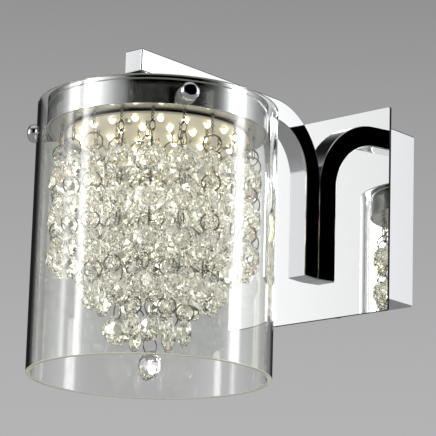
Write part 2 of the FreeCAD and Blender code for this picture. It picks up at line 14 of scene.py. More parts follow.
import bmesh
import bpy
from mathutils import Matrix, Vector


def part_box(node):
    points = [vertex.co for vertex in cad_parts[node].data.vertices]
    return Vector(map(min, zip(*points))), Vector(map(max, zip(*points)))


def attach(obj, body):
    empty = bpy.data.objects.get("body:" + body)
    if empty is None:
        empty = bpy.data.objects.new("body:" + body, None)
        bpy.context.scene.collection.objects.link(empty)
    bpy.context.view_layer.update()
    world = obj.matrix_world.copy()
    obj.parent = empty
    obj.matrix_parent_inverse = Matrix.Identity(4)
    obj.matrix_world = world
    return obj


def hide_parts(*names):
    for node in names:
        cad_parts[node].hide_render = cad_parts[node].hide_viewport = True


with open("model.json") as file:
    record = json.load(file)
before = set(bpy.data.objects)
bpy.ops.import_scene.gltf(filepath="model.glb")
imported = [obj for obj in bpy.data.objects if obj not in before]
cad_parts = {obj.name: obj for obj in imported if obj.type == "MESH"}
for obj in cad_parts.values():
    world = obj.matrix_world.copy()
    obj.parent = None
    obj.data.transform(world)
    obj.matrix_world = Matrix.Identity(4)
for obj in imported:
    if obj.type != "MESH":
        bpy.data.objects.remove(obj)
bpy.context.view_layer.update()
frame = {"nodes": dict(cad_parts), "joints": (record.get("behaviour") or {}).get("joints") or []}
nodes = frame["nodes"]
MM = 0.001

# %% [markdown]
# ## Sizes that the frame already knows
#
# A piece that is remodelled has to land exactly where its solid is. So its sizes are read from the
# solid's own box, and only what a box cannot tell, such as a wall's thickness, is written here.

# %% Read sizes from the frame


def size_of(name):
    """Lowest corner, highest corner and centre of a node."""
    low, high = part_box(name)
    return low, high, (low + high) / 2


glass_low, glass_high, glass_centre = size_of("glass_cylinder")
pan_low, pan_high, _ = size_of("pan")
plate_low, plate_high, _ = size_of("mirror_plate")
box_low, box_high, _ = size_of("wall_box")
arm_low, arm_high, _ = size_of("arm")
board_low, _, _ = size_of("led_board")
hanger_high = size_of("hanger_plate")[1]
lamp_axis = Vector((0.0, glass_centre.y, 0.0))
glass_radius = (glass_high.x - glass_low.x) / 2
pan_radius = (pan_high.x - pan_low.x) / 2
arm_side = arm_high.x - arm_low.x
pan_turn = radians(-5.4)
print(f"glass {2 * glass_radius / MM:.1f} mm across, lamp axis {-lamp_axis.y / MM:.1f} mm from the wall")

# %% [markdown]
# ## Working by operators without a window
#
# Blender's modelling operators act on what is selected, in the mode that is open. Three small
# helpers keep that tidy: one opens a piece for editing, one picks faces or edges by where they are
# or which way they face, and one closes the piece again.

# %% Selection helpers
touch = 0.01 * MM


def only(piece):
    """Select one object and make it the active one."""
    bpy.ops.object.select_all(action="DESELECT")
    piece.select_set(True)
    bpy.context.view_layer.objects.active = piece


def open_piece(piece):
    only(piece)
    bpy.ops.object.mode_set(mode="EDIT")


def close_piece():
    bpy.ops.object.mode_set(mode="OBJECT")


def pick(kind, test):
    """In edit mode, select only the faces or edges that pass the test."""
    bpy.context.tool_settings.mesh_select_mode = (False, kind == "edges", kind == "faces")
    mesh = bmesh.from_edit_mesh(bpy.context.object.data)
    chosen = [item for item in getattr(mesh, kind) if test(item)]
    bpy.ops.mesh.select_all(action="DESELECT")
    for item in chosen:
        item.select_set(True)
    bmesh.update_edit_mesh(bpy.context.object.data)


def at_height(edge, z):
    """Whether both ends of an edge are at one height."""
    return all(abs(vert.co.z - z) < touch for vert in edge.verts)


def runs_along(edge, direction):
    way = (edge.verts[0].co - edge.verts[1].co).normalized()
    return abs(way.dot(Vector(direction))) > 0.9


def facing(face, direction):
    return face.normal.dot(Vector(direction)) > 0.9


bpy.ops.object.select_all(action="DESELECT")
print("selected after loading:", len(bpy.context.selected_objects))

# %% [markdown]
# A finished piece has its place in its mesh, not in its object, so that a pattern on Object
# coordinates stays put. A modifier is applied as soon as it is set, as a tool is laid down again.
# Weighted normals are worth knowing: they let the large flat faces decide how light is mirrored,
# and keep the bending of light to the narrow rounding between them.

# %% Helpers that place and finish a piece


def apply_place(piece):
    """Move the object's place, turn and scale into its mesh."""
    only(piece)
    bpy.ops.object.transform_apply(location=True, rotation=True, scale=True)


def bevel_edges(piece, width, segments, angle=30):
    """Round the edges sharper than an angle, and keep the result."""
    only(piece)
    modifier = piece.modifiers.new("rounded", "BEVEL")
    modifier.width = width
    modifier.segments = segments
    modifier.limit_method = "ANGLE"
    modifier.angle_limit = radians(angle)
    bpy.ops.object.modifier_apply(modifier=modifier.name)


def smooth(piece, angle=35):
    only(piece)
    bpy.ops.object.shade_smooth_by_angle(angle=radians(angle))


def flatten_reflections(piece):
    """Let the large faces set the normals, so that a rounded edge doesn't bend their reflections."""
    only(piece)
    modifier = piece.modifiers.new("weighted", "WEIGHTED_NORMAL")
    modifier.keep_sharp = True
    modifier.weight = 100
    bpy.ops.object.modifier_apply(modifier=modifier.name)


def drill_out(piece, drill):
    """Cut one piece away from another, and throw the cutter away."""
    only(piece)
    cut = piece.modifiers.new("drilled", "BOOLEAN")
    cut.object = drill
    cut.solver = "EXACT"
    bpy.ops.object.modifier_apply(modifier=cut.name)
    bpy.data.objects.remove(drill)


print("a distance counts as none under", touch / MM, "mm")

# %% Helpers that join, copy and hand over a piece


def join(pieces, name):
    """Join pieces into the first one."""
    bpy.ops.object.select_all(action="DESELECT")
    for piece in pieces:
        piece.select_set(True)
    bpy.context.view_layer.objects.active = pieces[0]
    if len(pieces) > 1:
        bpy.ops.object.join()
    pieces[0].name = name
    return pieces[0]


def copy_of(piece, matrix):
    """A copy with its own mesh, moved by a matrix that goes into the mesh."""
    twin = piece.copy()
    twin.data = piece.data.copy()
    twin.data.transform(matrix)
    bpy.context.scene.collection.objects.link(twin)
    return twin


def dress(piece, *materials):
    """Give a piece its materials; one material covers all of it."""
    piece.data.materials.clear()
    for material in materials:
        piece.data.materials.append(material)


def settle(piece, body, slot, *replaced):
    """Let a piece ride on a body and stand for CAD nodes. The slot is not used."""
    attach(piece, body)
    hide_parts(*replaced)
    print(f"{piece.name}: {len(piece.data.polygons)} faces")


# %% [markdown]
# ## Finishes
#
# Nearly everything here is chrome, clear glass or crystal, and such surfaces have hardly any
# colour of their own. What makes them real is small: a polish that is not quite even, a faint
# wave that bends reflections, and a dull bloom where fingers have been. Each finish is a
# Principled shader with those small things worked out from noise on Object coordinates.

# %% Helpers that start a finish
noise_low, noise_high, mottle_high = 0.35, 0.75, 0.68


def new_finish(name, color, roughness, metallic=0.0, transmission=0.0, ior=1.5):
    """A Principled material, with its nodes ready for more."""
    material = bpy.data.materials.new(name)
    material.use_nodes = True
    shader = material.node_tree.nodes["Principled BSDF"]
    shader.inputs["Base Color"].default_value = (*color, 1.0)
    shader.inputs["Roughness"].default_value = roughness
    shader.inputs["Metallic"].default_value = metallic
    shader.inputs["Transmission Weight"].default_value = transmission
    shader.inputs["IOR"].default_value = ior
    return material, shader


def object_noise(material, scale, detail=3.0, stretch=(1.0, 1.0, 1.0)):
    """Noise on Object coordinates, with the pattern squeezed along each axis."""
    tree = material.node_tree
    place = tree.nodes.new("ShaderNodeTexCoord")
    mapping = tree.nodes.new("ShaderNodeMapping")
    noise = tree.nodes.new("ShaderNodeTexNoise")
    mapping.inputs["Scale"].default_value = stretch
    noise.inputs["Scale"].default_value = scale
    noise.inputs["Detail"].default_value = detail
    tree.links.new(place.outputs["Object"], mapping.inputs["Vector"])
    tree.links.new(mapping.outputs["Vector"], noise.inputs["Vector"])
    return noise.outputs["Fac"]


def object_height(material):
    """The height of a point of the surface, in metres."""
    tree = material.node_tree
    place = tree.nodes.new("ShaderNodeTexCoord")
    split = tree.nodes.new("ShaderNodeSeparateXYZ")
    tree.links.new(place.outputs["Object"], split.inputs["Vector"])
    return split.outputs["Z"]


def spread_over(material, source, source_range, value_range, socket):
    """Lead a source to a socket, with one range of numbers made another."""
    tree = material.node_tree
    spread = tree.nodes.new("ShaderNodeMapRange")
    spread.inputs["From Min"].default_value, spread.inputs["From Max"].default_value = source_range
    spread.inputs["To Min"].default_value, spread.inputs["To Max"].default_value = value_range
    tree.links.new(source, spread.inputs["Value"])
    tree.links.new(spread.outputs["Result"], socket)


print("noise is read from", noise_low, "to", noise_high)

# %% Helpers that vary a finish


def vary_roughness(material, shader, source, low, high):
    """Let a pattern move the roughness between two values."""
    spread_over(material, source, (noise_low, noise_high), (low, high), shader.inputs["Roughness"])


def vary_color(material, shader, source, first, second):
    """Let a pattern move the colour between two values."""
    tree = material.node_tree
    ramp = tree.nodes.new("ShaderNodeValToRGB")
    ends = ramp.color_ramp.elements
    ends[0].position, ends[1].position = noise_low, mottle_high
    ends[0].color, ends[1].color = (*first, 1.0), (*second, 1.0)
    tree.links.new(source, ramp.inputs["Fac"])
    tree.links.new(ramp.outputs["Color"], shader.inputs["Base Color"])


def raise_surface(material, source, height, normal):
    """Let a pattern raise the surface by a height in metres, and lead it to a Normal socket."""
    tree = material.node_tree
    bump = tree.nodes.new("ShaderNodeBump")
    bump.inputs["Distance"].default_value = height
    bump.inputs["Strength"].default_value = 1.0
    tree.links.new(source, bump.inputs["Height"])
    tree.links.new(bump.outputs["Normal"], normal)
    return bump


def glow(shader, color, strength):
    shader.inputs["Emission Color"].default_value = (*color, 1.0)
    shader.inputs["Emission Strength"].default_value = strength


print("colours are mixed from", noise_low, "to", mottle_high)

# %% [markdown]
# Chrome plate is a mirror with a faintly blue grey of its own. A perfectly even mirror looks like a
# drawing of one, so the polish varies a little, and a wave of a few hundredths of a millimetre
# wrinkles what is mirrored. The thin nickel wire is duller, and its colour is darkened: painted
# shade for the dark that it mirrors.

# %% Polished metals


def polished(name, color, low, high, wave_scale, wave_height):
    """Polished plate: uneven polish and a wave too low to see except in reflections."""
    material, shader = new_finish(name, color, low, metallic=1.0)
    vary_roughness(material, shader, object_noise(material, 38.0, 5.0), low, high)
    waves = object_noise(material, wave_scale, 1.0)
    return material, raise_surface(material, waves, wave_height, shader.inputs["Normal"])


chrome, _ = polished("polished_chrome", (0.86, 0.87, 0.89), 0.02, 0.055, 26.0, 0.02 * MM)
mirror_steel, mirror_wave = polished("mirror_steel", (0.93, 0.935, 0.94), 0.006, 0.02, 18.0, 0.012 * MM)
# The wire's dark colour is painted shade.
shade_darkened_wire, _ = polished("nickel_wire_painted_dark", (0.33, 0.32, 0.29), 0.08, 0.18, 300.0, 0.01 * MM)
print("polished:", chrome.name, mirror_steel.name, shade_darkened_wire.name)

# %% [markdown]
# A thin mirror-polished sheet is never flat. Its bow is far too small to see on the sheet itself,
# but it moves what is mirrored in it by centimetres. So the sheet's normal leans by two to three
# degrees, as the mirrored glass and arm in the photograph tell. A height that grows evenly along
# the sheet does that: its bump has no bumps at all, only a slope. The cut edge was never polished,
# and its nearly black colour is painted shade, which makes it a dark line against the bright sheet.

# %% The mirror sheet's lean and its edge of painted shade
sheet_slope = (0.051, 0.0, 0.036)
mirror_tree = mirror_steel.node_tree
slope = mirror_tree.nodes.new("ShaderNodeVectorMath")
slope.operation = "DOT_PRODUCT"
slope.inputs[1].default_value = sheet_slope
sheet_place = mirror_tree.nodes.new("ShaderNodeTexCoord")
mirror_tree.links.new(sheet_place.outputs["Object"], slope.inputs[0])
raise_surface(mirror_steel, slope.outputs["Value"], 1.0, mirror_wave.inputs["Normal"])

# Near-black painted shade for the sheet's edge.
edge_painted_shade, edge_shader = new_finish("sheet_cut_edge", (0.03, 0.03, 0.03), 0.6)
vary_roughness(edge_painted_shade, edge_shader, object_noise(edge_painted_shade, 400.0), 0.5, 0.75)
edge_shader.inputs["Specular IOR Level"].default_value = 0.1
print("the sheet leans by", [round(atan(share) / radians(1), 1) for share in sheet_slope], "degrees")

# %% [markdown]
# Parts that nobody sees are zinc plated, with a mottled bloom. The hanger plate is satin steel: its
# grain is noise that is squeezed along one axis, so that it reads as fine lines from the belt.

# %% Plain and plated metals


def plated(name, first, second, roughness, grain, stretch=(1.0, 1.0, 1.0)):
    """Zinc plate or satin steel: mottled colour and a fine grain along one way."""
    material, shader = new_finish(name, first, roughness, metallic=1.0)
    mottle = object_noise(material, 60.0, 4.0)
    vary_color(material, shader, mottle, first, second)
    vary_roughness(material, shader, mottle, roughness * 0.8, roughness * 1.3)
    raise_surface(material, object_noise(material, grain, 2.0, stretch), 0.03 * MM, shader.inputs["Normal"])
    return material


zinc_steel = plated("zinc_steel", (0.52, 0.53, 0.54), (0.68, 0.67, 0.63), 0.30, 900.0)
satin_steel = plated("satin_steel", (0.86, 0.85, 0.81), (0.94, 0.93, 0.90), 0.34, 1500.0, (1, 12, 1))
print("plated and satin:", zinc_steel.name, satin_steel.name)

# %% [markdown]
# Clear glass is a full transmission with hardly any colour. Seen through its long way, at the cut
# edge, the iron in it turns it pale green, so the ground rim has a finish of its own. The crystals
# are heavier glass, with a higher index, which is what throws light about inside them. The wall of
# the tube leads light down to its lower rim, which a renderer with few rays hardly finds, so the
# rim glows a little by itself, and least at the top.

# %% Glass, crystal and silicone
rim_glow_low, rim_glow_high = 0.22, 0.04


def clear(name, color, roughness, transmission, ior):
    return new_finish(name, color, roughness, transmission=transmission, ior=ior)


clear_glass, _ = clear("clear_glass", (0.985, 0.995, 0.985), 0.0, 1.0, 1.5)
cut_crystal, _ = clear("cut_crystal", (0.995, 0.99, 0.98), 0.0, 1.0, 1.58)
ground_rim, rim_shader = clear("ground_rim", (0.88, 0.90, 0.76), 0.25, 0.5, 1.5)
silicone, silicone_shader = clear("clear_silicone", (0.86, 0.87, 0.86), 0.28, 0.7, 1.41)
raise_surface(ground_rim, object_noise(ground_rim, 900.0), 0.04 * MM, rim_shader.inputs["Normal"])
raise_surface(silicone, object_noise(silicone, 500.0), 0.04 * MM, silicone_shader.inputs["Normal"])
rim_shader.inputs["Emission Color"].default_value = (0.93, 0.92, 0.74, 1.0)
spread_over(ground_rim, object_height(ground_rim), (glass_low.z, glass_high.z), (rim_glow_low, rim_glow_high),
            rim_shader.inputs["Emission Strength"])
print("clear finishes:", clear_glass.name, cut_crystal.name, ground_rim.name, silicone.name)

# %% [markdown]
# Plastic mouldings keep the grain of the spark-eroded tool they came out of. The board, the driver,
# the terminal block and the lead are all one recipe: two near colours, an uneven gloss, a grain.

# %% Mouldings


def moulded(name, first, second, roughness, grain_height=0.03 * MM):
    """Moulded plastic: nearly one colour, with a fine spark-eroded grain."""
    material, shader = new_finish(name, first, roughness)
    vary_color(material, shader, object_noise(material, 45.0, 3.0), first, second)
    vary_roughness(material, shader, object_noise(material, 200.0, 2.0), roughness * 0.85, roughness * 1.15)
    raise_surface(material, object_noise(material, 2600.0, 2.0), grain_height, shader.inputs["Normal"])
    return material, shader


driver_case, _ = moulded("driver_case", (0.78, 0.78, 0.76), (0.83, 0.83, 0.81), 0.5)
terminal_white, _ = moulded("terminal_polyamide", (0.80, 0.79, 0.75), (0.85, 0.84, 0.80), 0.42)
lead_sheath, _ = moulded("lead_sheath", (0.74, 0.74, 0.72), (0.80, 0.80, 0.78), 0.38, 0.02 * MM)
print("mouldings:", driver_case.name, terminal_white.name, lead_sheath.name)

# %% [markdown]
# The board is printed cream, and has a soft painted glow that stands for the light its own chips throw back
# on it.
# Seen from below, a thin dark line runs round the board where it meets the steel above; it is
# painted shade of that gap. It is no piece of its own: above a height, the board's finish turns
# black and stops glowing.

# %% The board, with its painted line of shade
board_glow_color = (1.0, 0.93, 0.74)
painted_shade_start = board_low.z + 0.9 * MM
painted_shade_color, no_glow = (0.012, 0.011, 0.009), (0.0, 0.0, 0.0)


def change_above(material, above, socket, color):
    """Above a line, give a colour socket another colour; below it, keep what it has."""
    tree = material.node_tree
    mix = tree.nodes.new("ShaderNodeMix")
    mix.data_type = "RGBA"
    factor, lower, upper = mix.inputs[0], mix.inputs[6], mix.inputs[7]
    if socket.is_linked:
        tree.links.new(socket.links[0].from_socket, lower)
    else:
        lower.default_value = socket.default_value
    upper.default_value = (*color, 1.0)
    tree.links.new(above, factor)
    tree.links.new(mix.outputs[2], socket)


board_pale, board_paler = (0.76, 0.73, 0.64), (0.82, 0.79, 0.71)
board_cream, board_shader = moulded("board_solder_mask", board_pale, board_paler, 0.42, 0.01 * MM)
# Painted glow: the board is no lamp, and this stands for light thrown back on it.
glow(board_shader, board_glow_color, 0.16)
# Above this height the finish is black and unlit: painted shade of the gap round the board.
painted_shade_line = board_cream.node_tree.nodes.new("ShaderNodeMath")
painted_shade_line.operation = "GREATER_THAN"
painted_shade_line.inputs[1].default_value = painted_shade_start
board_cream.node_tree.links.new(object_height(board_cream), painted_shade_line.inputs[0])
change_above(board_cream, painted_shade_line.outputs["Value"], board_shader.inputs["Base Color"], painted_shade_color)
change_above(board_cream, painted_shade_line.outputs["Value"], board_shader.inputs["Emission Color"], no_glow)
print(f"the painted shade starts {(painted_shade_start - board_low.z) / MM:.1f} mm over the board's face")

# %% [markdown]
# A lit chip is a pale frame round a drop of phosphor resin. The drop gives the light. The frame
# is given a far weaker painted glow for the part of that light it scatters.

# %% The lit chips' finishes
chip_light = 14.0
chip_frame, frame_shader = moulded("chip_frame", (0.86, 0.84, 0.78), (0.90, 0.88, 0.83), 0.35, 0.01 * MM)
# Painted glow on the frame, which is no lamp.
glow(frame_shader, (1.0, 0.93, 0.72), 0.55)
lit_phosphor, phosphor_shader = new_finish("lit_phosphor", (1.0, 0.90, 0.60), 0.4)
glow(phosphor_shader, (1.0, 0.90, 0.62), chip_light)
print("light strength of a chip:", chip_light)

# %% [markdown]
# ## The pieces whose solids already look right
#
# Screws, sleeves, leads and flat sheet parts have no large curved mirror surface, so they stay as
# the solids they are, and only get their finish.

# %% Finish the solids that stay
kept = {
    "wall_bracket": zinc_steel, "box_screws": chrome, "led_driver": driver_case,
    "terminal_block": terminal_white, "arm_bolts": zinc_steel, "plate_fixings": zinc_steel,
    "hanger_plate": satin_steel, "led_board": board_cream, "glass_bushes": silicone,
    "leads": lead_sheath,
}
for node, material in kept.items():
    dress(nodes[node], material)
print("solids that stay:", len(kept))

# %% [markdown]
# ## The arm
#
# The real arm is square tube, bent in one sweep and closed at both ends. A square is drawn out
# along the straight run, spun through a quarter turn about the bend's centre, and drawn down the
# leg. The corners are rounded last, all together, so their rounding runs on through the bend.

# %% Model the arm
bend_outside = 38.5 * MM
bend_steps = 40
corner_rounding = 0.7 * MM
bend_axis = Vector((0, arm_high.y - bend_outside, arm_high.z - bend_outside))

bpy.ops.mesh.primitive_plane_add(size=arm_side, location=(0, arm_low.y, arm_high.z - arm_side / 2),
                                 rotation=(pi / 2, 0, 0))
arm = bpy.context.object
apply_place(arm)
open_piece(arm)
bpy.ops.mesh.select_all(action="SELECT")
bpy.ops.mesh.extrude_region_move(TRANSFORM_OT_translate={"value": (0, bend_axis.y - arm_low.y, 0)})
bpy.ops.mesh.spin(steps=bend_steps, angle=pi / 2, center=bend_axis, axis=(1, 0, 0))
bpy.ops.mesh.extrude_region_move(TRANSFORM_OT_translate={"value": (0, 0, arm_low.z - bend_axis.z)})
bpy.ops.mesh.select_all(action="SELECT")
bpy.ops.mesh.remove_doubles(threshold=touch)
bpy.ops.mesh.normals_make_consistent(inside=False)
close_piece()
bevel_edges(arm, corner_rounding, 4)
smooth(arm)
flatten_reflections(arm)
arm.name = "arm_tube"
dress(arm, chrome)
settle(arm, "fixture", "chrome", "arm")

# %% [markdown]
# ## The mirror plate
#
# The plate is one sheet with small round corners and an edge that polishing has softened. It
# starts as a cube brought to the plate's corners, and its four short edges are rounded first. Only
# the two large faces are mirrors: all that turns away from them gets the edge's near-black finish
# of painted shade, because a chromed edge would catch a softbox and draw a white line down the side.

# %% Model the mirror plate
plate_corner = 1.0 * MM
plate_edge = 0.18 * MM
still_flat = 0.99


def block(name, low, high):
    """A cube brought to two corners."""
    bpy.ops.mesh.primitive_cube_add(size=1.0, location=(low + high) / 2)
    piece = bpy.context.object
    piece.scale = high - low
    apply_place(piece)
    piece.name = name
    return piece


def round_corners(piece, radius, along):
    """Round the four edges of a block that run along one axis."""
    open_piece(piece)
    pick("edges", lambda edge: runs_along(edge, along))
    bpy.ops.mesh.bevel(offset=radius, segments=6, affect="EDGES")
    close_piece()


plate = block("mirror_sheet", plate_low, plate_high)
round_corners(plate, plate_corner, (0, 1, 0))
bevel_edges(plate, plate_edge, 2)
smooth(plate)
flatten_reflections(plate)
dress(plate, mirror_steel, edge_painted_shade)
edge_faces = [face for face in plate.data.polygons if abs(face.normal.y) < still_flat]
for face in edge_faces:
    face.material_index = 1
settle(plate, "fixture", "mirror_steel", "mirror_plate")
print("cut edge faces:", len(edge_faces))

# %% [markdown]
# ## The box behind the plate
#
# The box is folded from sheet and open at the back. It is another block: its rear face is inset by
# the thickness of the sheet and pushed in, which leaves four walls and a front of one thickness.

# %% Model the wall box
box_wall = 1.2 * MM
fold_radius = 0.9 * MM
sheet_rounding = 0.15 * MM

box = block("folded_box", box_low, box_high)
round_corners(box, fold_radius, (0, 1, 0))
open_piece(box)
pick("faces", lambda face: facing(face, (0, 1, 0)))
bpy.ops.mesh.inset(thickness=box_wall)
bpy.ops.mesh.extrude_region_move(TRANSFORM_OT_translate={"value": (0, box_low.y - box_high.y + box_wall, 0)})
close_piece()
bevel_edges(box, sheet_rounding, 2)
smooth(box)
flatten_reflections(box)
dress(box, chrome)
settle(box, "fixture", "chrome", "wall_box")

# %% [markdown]
# ## The pan
#
# The pan is a spun cup. A many-sided cylinder is enough, because its lower cap can be inset by the
# wall and pushed up to hollow it. The rounding at the top edge is what draws the thin line of
# light round it, so it is cut first, and wider than the softened edges below.

# %% Model the pan
round_sides = 192
pan_wall = 1.2 * MM
pan_rounding = 0.8 * MM
lip_rounding = 0.12 * MM


def upright_cylinder(name, radius, low_z, high_z, sides=round_sides):
    """A cylinder round the lamp's axis."""
    bpy.ops.mesh.primitive_cylinder_add(vertices=sides, radius=radius, depth=high_z - low_z,
                                        location=(0, lamp_axis.y, (low_z + high_z) / 2))
    piece = bpy.context.object
    apply_place(piece)
    piece.name = name
    return piece


pan = upright_cylinder("spun_pan", pan_radius, pan_low.z, pan_high.z)
open_piece(pan)
pick("edges", lambda edge: at_height(edge, pan_high.z))
bpy.ops.mesh.bevel(offset=pan_rounding, segments=5, affect="EDGES")
pick("faces", lambda face: facing(face, (0, 0, -1)))
bpy.ops.mesh.inset(thickness=pan_wall)
bpy.ops.mesh.extrude_region_move(TRANSFORM_OT_translate={"value": (0, 0, pan_high.z - pan_low.z - pan_wall)})
close_piece()
bevel_edges(pan, lip_rounding, 2, 60)
smooth(pan)
flatten_reflections(pan)
dress(pan, chrome)
settle(pan, "fixture", "chrome", "pan")

# %% [markdown]
# ## The neck
#
# A turned collar fills the gap between the arm and the pan. Of the neck's pieces it is the only one
# that shows, so a short cylinder with rounded edges stands for them all.

# %% Model the neck
neck_radius = 9.0 * MM
neck_rounding = 0.6 * MM

neck = upright_cylinder("neck_collar", neck_radius, pan_high.z, arm_high.z - arm_side, 96)
bevel_edges(neck, neck_rounding, 4)
smooth(neck)
flatten_reflections(neck)
dress(neck, chrome)
settle(neck, "fixture", "chrome", "neck")

# %% [markdown]
# ## The glass cylinder
#
# Both caps of a cylinder are inset by the wall, their middles are taken out and the two rims are
# bridged, which gives a tube with a true inner wall. Without an inner wall, glass does not refract
# as a tube does. The tube is then cut level above and below the places of the screws, so that the
# drilling that comes next disturbs only a narrow band of the smooth wall.

# %% Model the glass tube
glass_wall = 2.5 * MM
glass_chamfer = 0.4 * MM
glass_sides = 256
inner_radius = (glass_radius - glass_wall) * cos(pi / glass_sides)
screw_z = size_of("thumbscrew_right")[2].z
band = 5.0 * MM


def on_inner_wall(edge):
    middle = (edge.verts[0].co + edge.verts[1].co) / 2
    return abs((middle - lamp_axis).to_2d().length - inner_radius) < touch


glass = upright_cylinder("glass_tube", glass_radius, glass_low.z, glass_high.z, glass_sides)
open_piece(glass)
pick("faces", lambda face: abs(face.normal.z) > 0.9)
bpy.ops.mesh.inset(thickness=glass_wall, use_individual=True)
pick("faces", lambda face: abs(face.normal.z) > 0.9 and len(face.verts) > 4)
bpy.ops.mesh.delete(type="ONLY_FACE")
pick("edges", on_inner_wall)
bpy.ops.mesh.bridge_edge_loops()
for level in (screw_z - band, screw_z + band):
    bpy.ops.mesh.select_all(action="SELECT")
    bpy.ops.mesh.bisect(plane_co=(0, 0, level), plane_no=(0, 0, 1))
bpy.ops.mesh.select_all(action="SELECT")
bpy.ops.mesh.normals_make_consistent(inside=False)
close_piece()
bevel_edges(glass, glass_chamfer, 2, 60)
print(f"the glass is {(glass_high.z - glass_low.z) / MM:.1f} mm high")

# %% [markdown]
# Three holes take the screws. Each is drilled as it is on the bench: a bar is laid along the
# screw's way and taken out of the wall. What faces up or down afterwards was cut by the saw, and
# gets the ground finish.

# %% Drill the glass and finish its rims
screw_names = ("thumbscrew_right", "thumbscrew_left", "thumbscrew_back")
screw_angles = [radians(degrees) + pan_turn for degrees in (61.0, -59.0, 181.0)]
drill_radius = 3.2 * MM
ground_slope = 0.3


def outward(angle):
    """Unit vector away from the lamp's axis, measured from the front towards +X."""
    return Vector((sin(angle), -cos(angle), 0))


for angle in screw_angles:
    way = outward(angle)
    bpy.ops.mesh.primitive_cylinder_add(vertices=40, radius=drill_radius, depth=4 * glass_wall,
                                        location=lamp_axis + way * glass_radius + Vector((0, 0, screw_z)),
                                        rotation=way.to_track_quat("Z", "Y").to_euler())
    drill_out(glass, bpy.context.object)
smooth(glass, 40)
flatten_reflections(glass)
dress(glass, clear_glass, ground_rim)
rim_faces = [face for face in glass.data.polygons if abs(face.normal.z) > ground_slope]
for face in rim_faces:
    face.material_index = 1
settle(glass, "fixture", "clear_glass", "glass_cylinder")
print("ground rim faces:", len(rim_faces))

# %% [markdown]
# ## The thumbscrews
#
# Each is turned from one bar: a round head like a flattened ball, a short foot against the sleeve
# and a shank. It is modelled once, lying along Z from the tip of the shank, and copied to its
# three places, because all three are the same screw.

# %% Model a thumbscrew and copy it
tip_radius = 50.5 * MM
foot_start = 60.95 * MM
head_start = 61.85 * MM
head_end = 67.85 * MM
shank_radius, foot_radius, head_radius = 1.9 * MM, 3.4 * MM, 4.6 * MM
head_rounding, foot_rounding, tip_rounding = 2.6 * MM, 0.2 * MM, 0.3 * MM
foot_overlap, shank_overlap = 0.3 * MM, 0.1 * MM


def turned(radius, start, end):
    """A length of bar along Z."""
    bpy.ops.mesh.primitive_cylinder_add(vertices=64, radius=radius, depth=end - start,
                                        location=(0, 0, (start + end) / 2))
    piece = bpy.context.object
    apply_place(piece)
    return piece


head = turned(head_radius, head_start, head_end)
bevel_edges(head, head_rounding, 10)
foot = turned(foot_radius, foot_start, head_start + foot_overlap)
bevel_edges(foot, foot_rounding, 2)
shank = turned(shank_radius, tip_radius, foot_start + shank_overlap)
bevel_edges(shank, tip_rounding, 2)
screw = join([head, foot, shank], "thumbscrew_pattern")
smooth(screw)
dress(screw, chrome)
screw_place = Matrix.Translation(lamp_axis + Vector((0, 0, screw_z)))
for name, angle in zip(screw_names, screw_angles):
    screw_turn = outward(angle).to_track_quat("Z", "Y").to_matrix().to_4x4()
    piece = copy_of(screw, screw_place @ screw_turn)
    piece.name = name.replace("thumbscrew", "turned_screw")
    settle(piece, name, "chrome", name)
bpy.data.objects.remove(screw)

# %% [markdown]
# ## One crystal
#
# The real bead is an octagon, ground on both faces to a small table with a star of facets round
# it. An eight-sided prism is the girdle. Each cap is drawn out and shrunk to the table, and turned
# by half a side: every side facet then splits into two triangles, which is the star. A hole near
# the top and one near the foot take the rings. It is repeated 144 times, so it stays this simple.

# %% Model the crystal
crystal_size = 14.0 * MM
crystal_thickness = 6.8 * MM
girdle = 1.8 * MM
table_share = 6.3 / 14.0
half_side = pi / 8
hole_spacing = 11.2 * MM
hole_radius = 0.82 * MM
rise = (crystal_thickness - girdle) / 2


def is_cap(face, side):
    return facing(face, (0, side, 0)) and abs(face.calc_center_median().y * side - girdle / 2) < touch


bpy.ops.mesh.primitive_cylinder_add(vertices=8, radius=crystal_size / 2 / cos(half_side), depth=girdle,
                                    rotation=(pi / 2, half_side, 0))
crystal = bpy.context.object
apply_place(crystal)
open_piece(crystal)
for side in (-1, 1):
    pick("faces", lambda face: is_cap(face, side))
    bpy.ops.mesh.extrude_region_move(TRANSFORM_OT_translate={"value": (0, side * rise, 0)})
    bpy.ops.transform.resize(value=(table_share, 1, table_share), center_override=(0, 0, 0))
    bpy.ops.transform.rotate(value=half_side, orient_axis="Y", center_override=(0, 0, 0))
pick("faces", lambda face: len(face.verts) == 4 and abs(face.normal.y) > 0.1)
bpy.ops.mesh.quads_convert_to_tris(quad_method="SHORTEST_DIAGONAL")
close_piece()
for side in (-1, 1):
    bpy.ops.mesh.primitive_cylinder_add(vertices=6, radius=hole_radius, depth=2 * crystal_thickness,
                                        location=(0, 0, side * hole_spacing / 2), rotation=(pi / 2, 0, 0))
    drill_out(crystal, bpy.context.object)
crystal.name = "crystal_pattern"
dress(crystal, cut_crystal)
print(f"a crystal of {crystal_size / MM:.0f} mm has {len(crystal.data.polygons)} faces")

# %% [markdown]
# ## A link: one ring and the crystal under it
#
# The ring stands across the crystal, so that its wire can pass through the hole. The strands are
# built from such links, one below the other, as they are threaded by hand. A torus is the ring:
# its wire is so thin that four sides are enough once they are shaded smooth.

# %% Model the link
ring_radius = 4.4 * MM
wire_radius = 0.4 * MM
seat = 0.25 * MM
ring_drop = 2 * ring_radius - seat
link_pitch = ring_drop + hole_spacing - seat

